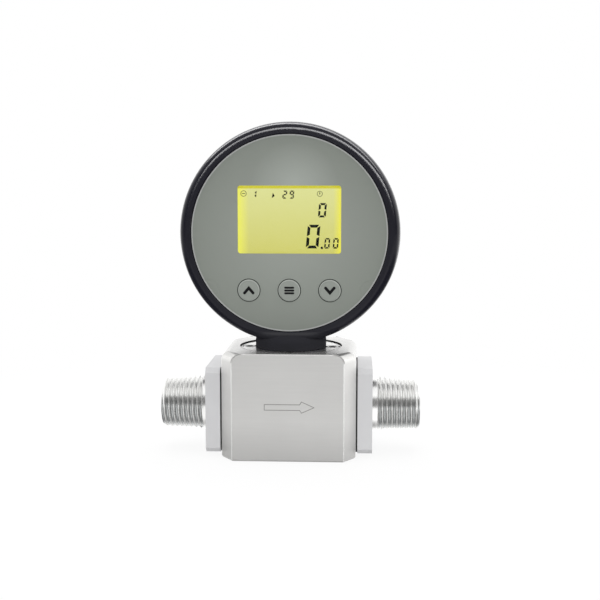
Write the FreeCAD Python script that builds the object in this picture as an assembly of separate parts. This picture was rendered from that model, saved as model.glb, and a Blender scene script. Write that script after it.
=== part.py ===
"""Inline gas mass flow meter with a round display head.

Millimetres. +X is the flow direction, the display faces -Y and +Z is up.
The origin is the centre of the flow body's underside.
"""
import FreeCAD, Part
import math
import os

V = FreeCAD.Vector

# Flow body: a machined block with bevelled upright corners and rounded shoulders
body_width = 50.0
body_depth = 45.0
body_height = 40.0
corner_bevel_wide = 4.3
corner_bevel_deep = 6.3
shoulder_radius = 3.2
top_edge_break = 0.3
base_edge_break = 0.6
channel_radius = 7.0
port_radius = 10.0
port_depth = 9.0
base_hole_spacing = 30.0
base_hole_radius = 1.65
base_hole_depth = 5.5

# Pipe adapters: a square flange with a taper-threaded nipple outside and a spigot inside
adapter_square = 32.0
adapter_base_gap = 1.5
adapter_thick = 5.5
adapter_corner_bevel = 1.8
gasket_thick = 0.6
gasket_inset = 0.4
nipple_length = 18.0
nipple_collar_length = 1.6
nipple_collar_radius = 10.5
thread_pitch = 1.814
thread_depth = 1.16
thread_taper = 1.0 / 32.0
nipple_end_bevel = 1.3
spigot_gap = 0.1
adapter_screw_inset = 4.4

# Flow conditioning inside the channel
screen_thick = 1.0
screen_hole_radius = 1.0
flow_hole_pitch = 2.8
insert_gap = 0.1
straightener_length = 6.0
straightener_hole_radius = 1.15
laminar_length = 9.0
laminar_hole_radius = 0.8
tap_spacing = 16.0
tap_radius = 1.5

# Seat, sensor well and mounting flange in the top of the body
seat_depth = 3.5
flange_side_gap = 0.2
flange_sunk = 0.5
flange_screw_from_neck = 2.5
flange_edge_from_screw = 3.15
well_inside_neck = 0.5
well_depth = 5.5
hub_radius = 7.8
hub_height = 4.0
hub_bore_radius = 5.5

# Sensor stack in the well
tap_seal_radius = 2.6
tap_seal_section = 0.5
tap_groove_gap = 0.1
sensor_insert_thick = 3.0
bypass_width = 3.0
bypass_depth = 1.2
chip_size = 4.0
chip_thick = 1.0
chip_pocket_margin = 0.5
circuit_board_thick = 1.6
sensor_board_gap = 0.5
clamp_ring_width = 1.5
connector_wide = 8.4
connector_deep = 4.0
connector_tall = 2.8

# Neck and display head
neck_radius = 13.5
neck_shoulder_rise = 3.4
neck_shoulder_round = 3.1
neck_foot_round = 0.4
neck_bore_gap = 0.2
head_lift = 2.1
head_radius = 41.2
face_front = -10.7
rim_proud = 0.7
rim_inner_break = 0.25
rim_flat_wide = 1.5
rim_round_wide = 3.0
rim_round_deep = 5.3
rim_fullness_wide = 0.8
rim_fullness_deep = 0.45
overlay_side_gap = 0.25
overlay_thick = 0.5
deck_thick = 1.8
wall_thick = 3.0
seam_break = 0.3
cover_depth = 4.2
cover_thick = 2.9
cover_round = 3.0
cover_side_gap = 0.3
cover_lip_wide = 1.2
cover_lip_deep = 2.0
cover_lip_gap = 0.2
cover_screw_inset = 2.7
cover_boss_radius = 3.2
cover_boss_gap = 0.3
cover_counterbore = 2.0
rear_seal_section = 0.5

# Keys embossed in the face overlay
key_spacing = 15.1
key_drop = 21.1
key_radius = 4.1
key_raise = 0.3
key_slope = 0.25
key_film_thick = 0.5
key_hollow_radius = 3.6
dome_radius = 3.3
dome_height = 0.6
dome_thick = 0.2
keypad_margin = 1.8
keypad_thick = 0.4
keypad_front_gap = 0.4
keypad_side_gap = 0.1
tail_wide = 7.6
tail_inset = 0.5
tail_slot_gap = 0.3

# Display stack, centred above the dial centre
view_wide = 38.3
view_tall = 25.1
view_rise = 5.15
view_corner = 1.0
window_ledge = 1.5
window_thick = 1.0
window_sunk = 0.05
window_gap = 0.1
deck_opening_margin = 0.4
panel_side_margin = 1.85
panel_end_margin = 2.45
panel_thick = 2.0
backlight_thick = 3.0
holder_wall = 1.1
holder_gap = 0.1

# Main board, ribbon and battery in the head
main_board_margin = 2.2
main_board_notch_gap = 0.5
board_boss_radius = 2.5
board_boss_rise = 2.0
board_boss_side_room = 1.25
board_boss_top_inset = 9.0
board_boss_bottom_inset = 6.0
ribbon_wide = 8.0
ribbon_thick = 0.8
ribbon_back = 0.4
board_plug_wide = 10.0
board_plug_deep = 4.2
board_plug_tall = 6.0
board_plug_drop = 26.0
cell_radius = 7.25
cell_length = 50.5
cell_rise = 5.0
cell_tip_radius = 2.75
cell_tip_length = 0.9
cell_edge_round = 0.6
cell_gap = 0.1
cell_back_room = 1.1
holder_base_thick = 1.2
holder_end_thick = 1.5
holder_side_margin = 1.6
holder_end_height = 9.0

# Screws: thread radius, head radius, head height, hexagon across flats, socket depth
m3_cap = (1.45, 2.7, 3.0, 2.5, 1.4)
m3_low = (1.45, 2.4, 1.5, 2.0, 0.9)
m3_pan = (1.45, 2.8, 1.9, 2.0, 1.1)
m25_low = (1.2, 2.2, 1.4, 1.5, 0.8)
m2_pan = (0.95, 1.9, 1.2, 1.3, 0.7)
thread_gap = 0.05
shank_gap = 0.2
head_gap = 0.2
adapter_screw_length = 9.5
flange_screw_length = 7.5
neck_screw_length = 5.5
cover_screw_length = 10.0
board_screw_length = 5.5
tip_gap = 0.5

# Worked out from the sizes above: flow body, adapters and seat
axis_height = adapter_square / 2 + adapter_base_gap
port_floor = body_width / 2 - port_depth
adapter_screw_offset = adapter_square / 2 - adapter_screw_inset
flange_floor = body_height - seat_depth
flange_top = body_height - flange_sunk
flange_screw_circle = 2 * (neck_radius + flange_screw_from_neck)
flange_radius = flange_screw_circle / 2 + flange_edge_from_screw
seat_radius = flange_radius + flange_side_gap
neck_screw_circle = hub_radius + neck_bore_gap + neck_radius
well_radius = neck_radius - well_inside_neck
well_floor = flange_floor - well_depth
sensor_board_radius = well_radius - sensor_board_gap
sensor_board_base = well_floor + sensor_insert_thick
sensor_board_top = sensor_board_base + circuit_board_thick

# Worked out from the sizes above: neck and display head, from front to back
dial_height = body_height + head_lift + head_radius
neck_shoulder_height = body_height + head_lift + neck_shoulder_rise
rim_flat_radius = head_radius - rim_round_wide
recess_radius = rim_flat_radius - rim_flat_wide
overlay_radius = recess_radius - overlay_side_gap
cavity_radius = head_radius - wall_thick
rim_front = face_front - rim_proud
deck_front = face_front + overlay_thick
deck_back = deck_front + deck_thick
main_board_front = deck_back + panel_thick + backlight_thick
main_board_back = main_board_front + circuit_board_thick
cell_back = main_board_back + holder_base_thick + cell_gap + 2 * cell_radius
head_back = cell_back + cell_back_room + cover_thick
cover_inner = head_back - cover_thick
seam_back = head_back - cover_depth
cover_screw_circle = 2 * (cavity_radius - cover_screw_inset)
rear_seal_radius = (cavity_radius + head_radius) / 2

# Worked out from the sizes above: keys, display and main board
keypad_wide = 2 * (key_spacing + key_radius + keypad_margin)
keypad_tall = 2 * (key_radius + keypad_margin)
keypad_front = deck_front + keypad_front_gap
keypad_back = keypad_front + keypad_thick
tail_drop = key_drop + keypad_tall / 2 - tail_inset
view_height = dial_height + view_rise
panel_wide = view_wide + 2 * panel_side_margin
panel_tall = view_tall + 2 * panel_end_margin
main_board_radius = cavity_radius - main_board_margin
board_boss_side = cell_length / 2 + cell_gap + holder_end_thick + m2_pan[1] + board_boss_side_room
board_boss_places = [(-board_boss_side, board_boss_rise), (board_boss_side, board_boss_rise),
                     (0.0, main_board_radius - board_boss_top_inset),
                     (0.0, board_boss_bottom_inset - main_board_radius)]


def block(x0, x1, y0, y1, z0, z1):
    """A box between two corners."""
    return Part.makeBox(x1 - x0, y1 - y0, z1 - z0, V(x0, y0, z0))


def rod_x(radius, x0, x1, y=0.0, z=axis_height):
    """A cylinder along X."""
    return Part.makeCylinder(radius, x1 - x0, V(x0, y, z), V(1, 0, 0))


def rod_y(radius, y0, y1, x=0.0, z=dial_height):
    """A cylinder along Y."""
    return Part.makeCylinder(radius, y1 - y0, V(x, y0, z), V(0, 1, 0))


def rod_z(radius, z0, z1, x=0.0, y=0.0):
    """A cylinder along Z."""
    return Part.makeCylinder(radius, z1 - z0, V(x, y, z0), V(0, 0, 1))


def cut_all(shape, tools):
    """The shape less every tool."""
    for tool in tools:
        shape = shape.cut(tool)
    return shape


def prism(points, direction):
    """A straight prism on a closed polygon of vectors."""
    wire = Part.makePolygon(points + [points[0]])
    return Part.Face(wire).extrude(direction)


def plate_y(wide, tall, y0, y1, x=0.0, z=view_height, corner=0.0):
    """A plate facing -Y, with rounded corners where corner is given."""
    plate = block(x - wide / 2, x + wide / 2, y0, y1, z - tall / 2, z + tall / 2)
    if corner == 0.0:
        return plate
    upright = [edge for edge in plate.Edges if abs(edge.tangentAt(edge.FirstParameter).y) > 0.99]
    return plate.makeFillet(corner, upright)


def turned(profile, centre, axis):
    """A full turn of a closed list of edges about an axis."""
    return Part.Face(Part.Wire(profile)).revolve(centre, axis, 360)


def line(a, b):
    """A straight edge."""
    return Part.LineSegment(a, b).toShape()


def chain(points):
    """Straight edges from point to point."""
    return [line(a, b) for a, b in zip(points, points[1:])]


def circle_places(diameter, angles):
    """Points on a circle about the origin."""
    return [(diameter / 2 * math.cos(math.radians(a)), diameter / 2 * math.sin(math.radians(a))) for a in angles]


def aim(shape, place, direction):
    """Turn a shape made along +Z to a direction and move it to its place."""
    shape.Placement = FreeCAD.Placement(place, FreeCAD.Rotation(V(0, 0, 1), direction))
    return shape


def socket_screw(size, length, place, direction):
    """A screw whose head bears at place, with its head towards direction."""
    thread, head, height, across, socket = size
    solid = Part.makeCylinder(head, height)
    top_edge = [edge for edge in solid.Edges if abs(edge.CenterOfMass.z - height) < 0.01]
    solid = solid.makeChamfer(0.15 * height, top_edge)
    solid = solid.fuse(Part.makeCylinder(thread, length, V(0, 0, -length)))
    corner = across / math.sqrt(3)
    hexagon = [V(corner * math.cos(math.radians(a)), corner * math.sin(math.radians(a)), height - socket)
               for a in range(0, 360, 60)]
    solid = solid.cut(prism(hexagon, V(0, 0, socket + 1)))
    return aim(solid.removeSplitter(), place, direction)


def flow_hole_centres():
    """A hexagonal pattern: one hole, a ring of six and a ring of twelve."""
    centres = []
    for row in range(-2, 3):
        count = 5 - abs(row)
        for step in range(count):
            centres.append(((step - (count - 1) / 2) * flow_hole_pitch, row * flow_hole_pitch * math.sqrt(0.75)))
    return centres


def pierced(radius, x0, x1, hole_radius):
    """A disc across the channel, pierced by the hexagonal pattern."""
    disc = rod_x(radius, x0, x1)
    for y, z in flow_hole_centres():
        disc = disc.cut(rod_x(hole_radius, x0 - 1, x1 + 1, y, axis_height + z))
    return disc


def adapter_screw_places():
    """The four screws at the corners of an adapter flange, as (y, z)."""
    return [(y * adapter_screw_offset, axis_height + z * adapter_screw_offset) for y in (-1, 1) for z in (-1, 1)]


def body_blank():
    """The block with its bevelled corners, rounded shoulders and broken edges."""
    w, d = body_width / 2, body_depth / 2
    bw, bd = w - corner_bevel_wide, d - corner_bevel_deep
    outline = [V(-bw, -d, 0), V(bw, -d, 0), V(w, -bd, 0), V(w, bd, 0),
               V(bw, d, 0), V(-bw, d, 0), V(-w, bd, 0), V(-w, -bd, 0)]
    blank = prism(outline, V(0, 0, body_height))
    top = [edge for edge in blank.Edges if edge.BoundBox.ZMin > body_height - 0.01]
    shoulders = [edge for edge in top if edge.BoundBox.YLength > 0.01]
    blank = blank.makeFillet(shoulder_radius, shoulders)
    long_top = [edge for edge in blank.Edges
                if edge.BoundBox.ZMin > body_height - 0.01 and abs(abs(edge.CenterOfMass.y) - d) < 0.01]
    blank = blank.makeChamfer(top_edge_break, long_top)
    base = [edge for edge in blank.Edges if edge.BoundBox.ZMax < 0.01]
    return blank.makeChamfer(base_edge_break, base)


def flow_body():
    """The body with its channel, ports, sensor well, seat and screw holes."""
    half = body_width / 2
    tapped = m3_cap[0] + thread_gap
    tools = [rod_x(channel_radius, -half - 1, half + 1),
             rod_x(port_radius, port_floor, half + 1),
             rod_x(port_radius, -half - 1, -port_floor),
             rod_z(seat_radius, flange_floor, body_height + 1),
             rod_z(well_radius, well_floor, flange_floor + 1)]
    for y, z in adapter_screw_places():
        depth = adapter_screw_length - (adapter_thick - m3_cap[2] - head_gap) - gasket_thick + tip_gap
        tools.append(rod_x(tapped, half - depth, half + 1, y, z))
        tools.append(rod_x(tapped, -half - 1, -half + depth, y, z))
    for x, y in circle_places(flange_screw_circle, (0, 90, 180, 270)):
        bearing = flange_top - m3_low[2]
        tools.append(rod_z(tapped, bearing - flange_screw_length - tip_gap, flange_floor + 1, x, y))
    for side in (-1, 1):
        x = side * tap_spacing / 2
        tools.append(rod_z(tap_radius, axis_height, well_floor + 1, x))
        groove = rod_z(tap_seal_radius + tap_seal_section + tap_groove_gap,
                       well_floor - 2 * tap_seal_section, well_floor + 0.5, x)
        post = rod_z(tap_seal_radius - tap_seal_section - tap_groove_gap,
                     well_floor - 2 * tap_seal_section, well_floor + 0.5, x)
        tools.append(groove.cut(post))
        tools.append(rod_z(base_hole_radius, -1, base_hole_depth, side * base_hole_spacing / 2))
    return cut_all(body_blank(), tools)


def nipple_profile(x0):
    """Half section of the threaded nipple and bore, from the flange outwards."""
    end = x0 + nipple_length
    start = x0 + nipple_collar_length
    ridge_end = end - nipple_end_bevel
    ridges = int((ridge_end - start) / thread_pitch)
    points = [V(x0, channel_radius, 0), V(x0, nipple_collar_radius, 0), V(start, nipple_collar_radius, 0)]
    for ridge in range(ridges):
        root_x = start + (ridge + 0.5) * thread_pitch
        crest_x = start + (ridge + 1) * thread_pitch
        points.append(V(root_x, nipple_collar_radius - thread_depth - (root_x - start) * thread_taper, 0))
        points.append(V(crest_x, nipple_collar_radius - (crest_x - start) * thread_taper, 0))
    last = points[-1]
    points.append(V(end, last.y - (end - last.x), 0))
    points.append(V(end, channel_radius, 0))
    return points


def adapter(side):
    """One pipe adapter; side is 1 at the outlet and -1 at the inlet."""
    inner = body_width / 2 + gasket_thick
    outer = inner + adapter_thick
    half = adapter_square / 2
    flange = block(inner, outer, -half, half, axis_height - half, axis_height + half)
    long_edges = [edge for edge in flange.Edges if edge.BoundBox.XLength > adapter_thick - 0.01]
    flange = flange.makeChamfer(adapter_corner_bevel, long_edges)
    points = nipple_profile(outer)
    nipple = turned(chain(points + [points[0]]), V(0, 0, 0), V(1, 0, 0))
    nipple.translate(V(0, 0, axis_height))
    spigot = rod_x(port_radius - spigot_gap, port_floor + screen_thick, inner)
    shape = flange.fuse([nipple, spigot]).cut(rod_x(channel_radius, 0, outer + nipple_length + 1))
    for y, z in adapter_screw_places():
        shape = shape.cut(rod_x(m3_cap[0] + shank_gap, inner - 1, outer + 1, y, z))
        shape = shape.cut(rod_x(m3_cap[1] + head_gap, outer - m3_cap[2] - head_gap, outer + 1, y, z))
    shape = shape.removeSplitter()
    return shape if side > 0 else shape.mirror(V(0, 0, 0), V(1, 0, 0))


def adapter_screws(side):
    """The four cap screws that hold one adapter."""
    bearing = body_width / 2 + gasket_thick + adapter_thick - m3_cap[2] - head_gap
    return [socket_screw(m3_cap, adapter_screw_length, V(side * bearing, y, z), V(side, 0, 0))
            for y, z in adapter_screw_places()]


def gasket(side):
    """The flat seal between an adapter flange and the body."""
    inner = body_width / 2
    half = adapter_square / 2 - gasket_inset
    shape = block(inner, inner + gasket_thick, -half, half, axis_height - half, axis_height + half)
    long_edges = [edge for edge in shape.Edges if edge.BoundBox.XLength > gasket_thick - 0.01]
    shape = shape.makeChamfer(adapter_corner_bevel, long_edges)
    shape = shape.cut(rod_x(port_radius, inner - 1, inner + gasket_thick + 1))
    for y, z in adapter_screw_places():
        shape = shape.cut(rod_x(m3_cap[0] + shank_gap, inner - 1, inner + gasket_thick + 1, y, z))
    return shape if side > 0 else shape.mirror(V(0, 0, 0), V(1, 0, 0))


def screen(side):
    """The pierced disc that an adapter spigot holds against the port floor."""
    ends = sorted((side * port_floor, side * (port_floor + screen_thick)))
    return pierced(port_radius - spigot_gap, ends[0], ends[1], screen_hole_radius)


def flow_straightener():
    """The honeycomb behind the inlet screen."""
    start = -port_floor
    return pierced(channel_radius - insert_gap, start, start + straightener_length, straightener_hole_radius)


def laminar_element():
    """The pierced plug between the two pressure taps."""
    return pierced(channel_radius - insert_gap, -laminar_length / 2, laminar_length / 2, laminar_hole_radius)


def tap_seals():
    """Two small O-rings round the pressure taps."""
    rings = []
    for side in (-1, 1):
        place = V(side * tap_spacing / 2, 0, well_floor - tap_seal_section)
        rings.append(Part.makeTorus(tap_seal_radius, tap_seal_section, place))
    return rings


def sensor_insert():
    """The moulded puck that carries gas from tap to tap past the sensor."""
    top = sensor_board_base
    puck = rod_z(well_radius - flange_side_gap, well_floor, top)
    reach = tap_spacing / 2 + tap_radius
    tools = [block(-reach, reach, -bypass_width / 2, bypass_width / 2, top - bypass_depth, top + 1)]
    pocket = chip_size / 2 + chip_pocket_margin
    tools.append(block(-pocket, pocket, -pocket, pocket, top - bypass_depth, top + 1))
    for side in (-1, 1):
        tools.append(rod_z(tap_radius, well_floor - 1, top + 1, side * tap_spacing / 2))
    return cut_all(puck, tools)


def sensor_chip():
    """The sensing chip, hung under its board in the bypass."""
    half = chip_size / 2
    return block(-half, half, -half, half, sensor_board_base - chip_thick, sensor_board_base)


def sensor_board():
    """The round board over the sensor insert."""
    return rod_z(sensor_board_radius, sensor_board_base, sensor_board_top)


def sensor_clamp_ring():
    """The spacer ring between the sensor board and the mounting flange."""
    outer = rod_z(sensor_board_radius, sensor_board_top, flange_floor)
    return outer.cut(rod_z(sensor_board_radius - clamp_ring_width, sensor_board_top - 1, flange_floor + 1))


def sensor_connector():
    """The socket on the sensor board that takes the ribbon's lower end."""
    w, d = connector_wide / 2, connector_deep / 2
    return block(-w, w, -d, d, sensor_board_top, sensor_board_top + connector_tall)


def mounting_flange():
    """The turned disc that holds the head in the body's seat."""
    shape = rod_z(flange_radius, flange_floor, flange_top).fuse(rod_z(hub_radius, flange_floor, flange_top + hub_height))
    tools = [rod_z(hub_bore_radius, flange_floor - 1, flange_top + hub_height + 1)]
    for x, y in circle_places(flange_screw_circle, (0, 90, 180, 270)):
        tools.append(rod_z(m3_low[0] + shank_gap, flange_floor - 1, flange_top + 1, x, y))
        tools.append(rod_z(m3_low[1] + head_gap, flange_top - m3_low[2], flange_top + 1, x, y))
    for x, y in circle_places(neck_screw_circle, (45, 135, 225, 315)):
        tools.append(rod_z(m25_low[0] + shank_gap, flange_floor - 1, flange_top + 1, x, y))
        tools.append(rod_z(m25_low[1] + head_gap, flange_floor - 1, flange_floor + m25_low[2], x, y))
    return cut_all(shape, tools).removeSplitter()


def mounting_flange_screws():
    """Four flush screws from the mounting flange into the body."""
    bearing = flange_top - m3_low[2]
    return [socket_screw(m3_low, flange_screw_length, V(x, y, bearing), V(0, 0, 1))
            for x, y in circle_places(flange_screw_circle, (0, 90, 180, 270))]


def neck_screws():
    """Four screws from below through the mounting flange into the neck."""
    bearing = flange_floor + m25_low[2]
    return [socket_screw(m25_low, neck_screw_length, V(x, y, bearing), V(0, 0, -1))
            for x, y in circle_places(neck_screw_circle, (45, 135, 225, 315))]


def drum():
    """The round housing: face recess, rounded rim, side wall and inner deck."""
    def at(radius, y):
        return V(radius, y, dial_height)

    rim_end = rim_front + rim_round_deep
    before = chain([at(0, deck_front), at(recess_radius, deck_front), at(recess_radius, rim_front + rim_inner_break),
                    at(recess_radius + rim_inner_break, rim_front), at(rim_flat_radius, rim_front)])
    curve = Part.BezierCurve()
    curve.setPoles([at(rim_flat_radius, rim_front),
                    at(rim_flat_radius + rim_fullness_wide * rim_round_wide, rim_front),
                    at(head_radius, rim_end - rim_fullness_deep * rim_round_deep), at(head_radius, rim_end)])
    after = chain([at(head_radius, rim_end), at(head_radius, seam_back - seam_break),
                   at(head_radius - seam_break, seam_back), at(cavity_radius, seam_back),
                   at(cavity_radius, deck_back), at(0, deck_back), at(0, deck_front)])
    return turned(before + [curve.toShape()] + after, V(0, 0, dial_height), V(0, 1, 0))


def neck():
    """The upright neck, with a rounded shoulder in front of the drum."""
    column = rod_z(neck_radius, flange_top, neck_shoulder_height)
    top = [edge for edge in column.Edges if edge.BoundBox.ZMin > neck_shoulder_height - 0.01]
    column = column.makeFillet(neck_shoulder_round, top)
    foot = [edge for edge in column.Edges if edge.BoundBox.ZMax < flange_top + 0.01]
    return column.makeFillet(neck_foot_round, foot)


def cover_boss_places():
    """The four rear cover screws, as (x, z) from the dial centre."""
    return circle_places(cover_screw_circle, (45, 135, 225, 315))


def head_housing():
    """Drum and neck as one moulding, with its bosses, openings and seal groove."""
    bosses = []
    for x, z in cover_boss_places():
        bosses.append(rod_y(cover_boss_radius, deck_back - 0.5, cover_inner, x, dial_height + z))
    for x, z in board_boss_places:
        bosses.append(rod_y(board_boss_radius, deck_back - 0.5, main_board_front, x, dial_height + z))
    column = neck().cut(rod_y(cavity_radius, deck_back, head_back))
    column = column.cut(rod_y(head_radius + cover_side_gap, seam_back, seam_back + neck_radius))
    shape = drum().fuse([column] + bosses)
    tools = [rod_z(hub_radius + neck_bore_gap, flange_top - 1, dial_height - cavity_radius + 2),
             plate_y(view_wide + 2 * deck_opening_margin, view_tall + 2 * deck_opening_margin,
                     deck_front - 1, deck_back + 1, corner=view_corner),
             plate_y(view_wide + 2 * (window_ledge + window_gap), view_tall + 2 * (window_ledge + window_gap),
                     deck_front - 1, deck_front + window_thick, corner=view_corner),
             plate_y(keypad_wide + 2 * keypad_side_gap, keypad_tall + 2 * keypad_side_gap, deck_front - 1,
                     keypad_back, z=dial_height - key_drop),
             plate_y(tail_wide + 2 * tail_slot_gap, keypad_thick + 2 * tail_slot_gap, deck_front, deck_back + 1,
                     z=dial_height - tail_drop)]
    groove = rod_y(rear_seal_radius + rear_seal_section, seam_back - 2 * rear_seal_section, seam_back + 1)
    tools.append(groove.cut(rod_y(rear_seal_radius - rear_seal_section, 0, seam_back + 2)))
    for x, z in cover_boss_places():
        depth = cover_screw_length + tip_gap
        tools.append(rod_y(m3_pan[0] + thread_gap, head_back - cover_counterbore - depth, cover_inner + 1,
                           x, dial_height + z))
    for x, z in board_boss_places:
        tools.append(rod_y(m2_pan[0] + thread_gap, main_board_back - board_screw_length - tip_gap,
                           main_board_front + 1, x, dial_height + z))
    for x, y in circle_places(neck_screw_circle, (45, 135, 225, 315)):
        tip = flange_floor + m25_low[2] + neck_screw_length
        tools.append(rod_z(m25_low[0] + thread_gap, flange_top - 1, tip + tip_gap, x, y))
    return cut_all(shape, tools).removeSplitter()


def rear_cover():
    """The dished cover that closes the drum."""
    def at(radius, y):
        return V(radius, y, dial_height)

    lip = cavity_radius - cover_lip_gap
    before = chain([at(0, cover_inner), at(lip - cover_lip_wide, cover_inner),
                    at(lip - cover_lip_wide, seam_back - cover_lip_deep), at(lip, seam_back - cover_lip_deep),
                    at(lip, seam_back), at(head_radius - seam_break, seam_back),
                    at(head_radius, seam_back + seam_break), at(head_radius, head_back - cover_round)])
    corner = head_radius - cover_round
    middle = cover_round * math.sqrt(0.5)
    arc = Part.Arc(at(head_radius, head_back - cover_round),
                   at(corner + middle, head_back - cover_round + middle), at(corner, head_back)).toShape()
    after = chain([at(corner, head_back), at(0, head_back), at(0, cover_inner)])
    shape = turned(before + [arc] + after, V(0, 0, dial_height), V(0, 1, 0))
    for x, z in cover_boss_places():
        height = dial_height + z
        shape = shape.cut(rod_y(cover_boss_radius + cover_boss_gap, seam_back - cover_lip_deep - 1, cover_inner,
                                x, height))
        shape = shape.cut(rod_y(m3_pan[0] + shank_gap, cover_inner - 1, head_back + 1, x, height))
        shape = shape.cut(rod_y(m3_pan[1] + head_gap, head_back - cover_counterbore, head_back + 1, x, height))
    return shape


def rear_cover_seal():
    """The O-ring in the housing's rear rim."""
    place = V(0, seam_back - rear_seal_section, dial_height)
    return Part.makeTorus(rear_seal_radius, rear_seal_section, place, V(0, 1, 0))


def rear_cover_screws():
    """Four sunk screws through the rear cover."""
    bearing = head_back - cover_counterbore
    return [socket_screw(m3_pan, cover_screw_length, V(x, bearing, dial_height + z), V(0, 1, 0))
            for x, z in cover_boss_places()]


def key_places():
    """The three keys, as (x, z)."""
    return [(step * key_spacing, dial_height - key_drop) for step in (-1, 0, 1)]


def face_overlay():
    """The one-piece face film with its display opening and three embossed keys."""
    shape = rod_y(overlay_radius, face_front, deck_front)
    for x, z in key_places():
        pad = Part.makeCone(key_radius, key_radius - key_slope, key_raise, V(x, face_front, z), V(0, -1, 0))
        shape = shape.fuse(pad)
    for x, z in key_places():
        shape = shape.cut(rod_y(key_hollow_radius, face_front - key_raise + key_film_thick, deck_front + 1, x, z))
    return shape.cut(plate_y(view_wide, view_tall, face_front - 1, deck_front + 1, corner=view_corner))


def keypad_circuit():
    """The thin key circuit under the overlay, with its tail to the main board."""
    sheet = plate_y(keypad_wide, keypad_tall, keypad_front, keypad_back, z=dial_height - key_drop)
    tail = plate_y(tail_wide, keypad_thick, keypad_back - keypad_thick, main_board_front, z=dial_height - tail_drop)
    return sheet.fuse(tail).removeSplitter()


def key_domes():
    """Three shallow snap domes on the key circuit."""
    domes = []
    for x, z in key_places():
        def at(radius, rise):
            return V(x + radius, keypad_front - rise, z)

        def arc(radius, rise):
            sphere = (radius * radius + rise * rise) / (2 * rise)
            half = math.asin(radius / sphere) / 2
            middle = at(sphere * math.sin(half), rise - sphere * (1 - math.cos(half)))
            return Part.Arc(at(radius, 0), middle, at(0, rise)).toShape()

        inner = dome_radius - dome_thick
        profile = [arc(dome_radius, dome_height), line(at(0, dome_height), at(0, dome_height - dome_thick)),
                   arc(inner, dome_height - dome_thick), line(at(inner, 0), at(dome_radius, 0))]
        domes.append(turned(profile, V(x, 0, z), V(0, 1, 0)))
    return domes


def lcd_window():
    """The clear window: a ledge in the deck and a step that fills the overlay's opening."""
    ledge = plate_y(view_wide + 2 * window_ledge, view_tall + 2 * window_ledge, deck_front,
                    deck_front + window_thick, corner=view_corner)
    step = plate_y(view_wide - 2 * window_gap, view_tall - 2 * window_gap, face_front + window_sunk,
                   deck_front, corner=view_corner)
    return ledge.fuse(step).removeSplitter()


def lcd_panel():
    """The display glass behind the deck."""
    return plate_y(panel_wide, panel_tall, deck_back, deck_back + panel_thick)


def lcd_backlight():
    """The light guide behind the glass."""
    return plate_y(panel_wide, panel_tall, deck_back + panel_thick, main_board_front)


def lcd_holder():
    """The frame that keeps glass and light guide together on the main board."""
    inner_wide = panel_wide + 2 * holder_gap
    inner_tall = panel_tall + 2 * holder_gap
    frame = plate_y(inner_wide + 2 * holder_wall, inner_tall + 2 * holder_wall, deck_back, main_board_front)
    return frame.cut(plate_y(inner_wide, inner_tall, deck_back - 1, main_board_front + 1))


def main_board():
    """The round main board, notched round the cover bosses."""
    shape = rod_y(main_board_radius, main_board_front, main_board_back)
    for x, z in cover_boss_places():
        shape = shape.cut(rod_y(cover_boss_radius + main_board_notch_gap, main_board_front - 1, main_board_back + 1,
                                x, dial_height + z))
    for x, z in board_boss_places:
        shape = shape.cut(rod_y(m2_pan[0] + shank_gap, main_board_front - 1, main_board_back + 1,
                                x, dial_height + z))
    return shape


def board_screws():
    """Four screws that hold the main board."""
    return [socket_screw(m2_pan, board_screw_length, V(x, main_board_back, dial_height + z), V(0, 1, 0))
            for x, z in board_boss_places]


def board_connector():
    """The socket on the main board that takes the ribbon's upper end."""
    top = dial_height - board_plug_drop + board_plug_tall
    return block(-board_plug_wide / 2, board_plug_wide / 2, main_board_back, main_board_back + board_plug_deep,
                 dial_height - board_plug_drop, top)


def sensor_ribbon():
    """The flat ribbon that runs up the neck from board to board."""
    bottom = sensor_board_top + connector_tall
    return block(-ribbon_wide / 2, ribbon_wide / 2, ribbon_back, ribbon_back + ribbon_thick, bottom,
                 dial_height - board_plug_drop)


def battery_cell():
    """The battery: a plain can with a raised tip."""
    height = dial_height + cell_rise
    centre = main_board_back + holder_base_thick + cell_gap + cell_radius
    half = cell_length / 2
    can = rod_x(cell_radius, -half, half - cell_tip_length, centre, height)
    can = can.makeFillet(cell_edge_round, [edge for edge in can.Edges if edge.BoundBox.XLength < 0.01])
    return can.fuse(rod_x(cell_tip_radius, half - cell_tip_length, half, centre, height))


def battery_holder():
    """The open cradle that keeps the battery on the main board."""
    height = dial_height + cell_rise
    half_long = cell_length / 2 + cell_gap
    half_tall = cell_radius + holder_side_margin
    base = block(-half_long - holder_end_thick, half_long + holder_end_thick, main_board_back,
                 main_board_back + holder_base_thick, height - half_tall, height + half_tall)
    parts = []
    for side in (-1, 1):
        ends = sorted((side * half_long, side * (half_long + holder_end_thick)))
        parts.append(block(ends[0], ends[1], main_board_back, holder_end_height, height - half_tall,
                           height + half_tall))
        rails = sorted((side * (cell_radius + cell_gap), side * half_tall))
        parts.append(block(-half_long, half_long, main_board_back,
                           main_board_back + holder_base_thick + cell_radius / 2,
                           height + rails[0], height + rails[1]))
    return base.fuse(parts).removeSplitter()


def save(name, shape):
    """Write one node; a list becomes a group of separate solids."""
    if isinstance(shape, list):
        shape = Part.makeCompound(shape)
    if not shape.isValid():
        raise ValueError(name + " is not a valid shape")
    shape.exportStep("parts/" + name + ".step")


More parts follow.
